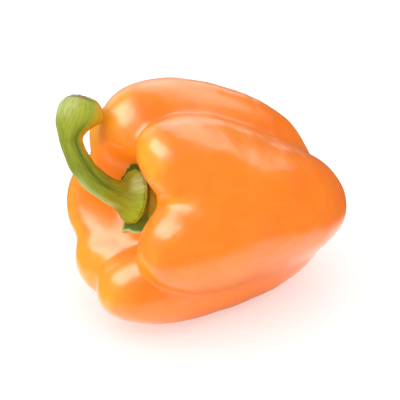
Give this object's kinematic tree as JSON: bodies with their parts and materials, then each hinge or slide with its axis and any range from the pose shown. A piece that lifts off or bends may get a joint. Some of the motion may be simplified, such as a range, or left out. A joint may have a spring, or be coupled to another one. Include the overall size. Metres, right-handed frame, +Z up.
{
  "type": "bell pepper",
  "caption": "Orange bell pepper lying on its side, with lobed shoulders, a pit round the stem, and a bent green stem with its calyx.",
  "frame": {"origin": "centre of the footprint of the whole part, on the surface that it lies on", "axes": "+Z up from the surface, -X the way the stem points, seen from above"},
  "size_m": [0.0982, 0.0732, 0.0799],
  "materials": {
    "pepper_skin": "smooth waxy orange skin with a soft gloss, stands for the flesh of the fruit",
    "stem_green": "satin green stalk with fine lengthwise lines and a darker calyx"
  },
  "bodies": {
    "root": {"fruit": "pepper_skin", "stem": "stem_green"}
  },
  "joints": []
}
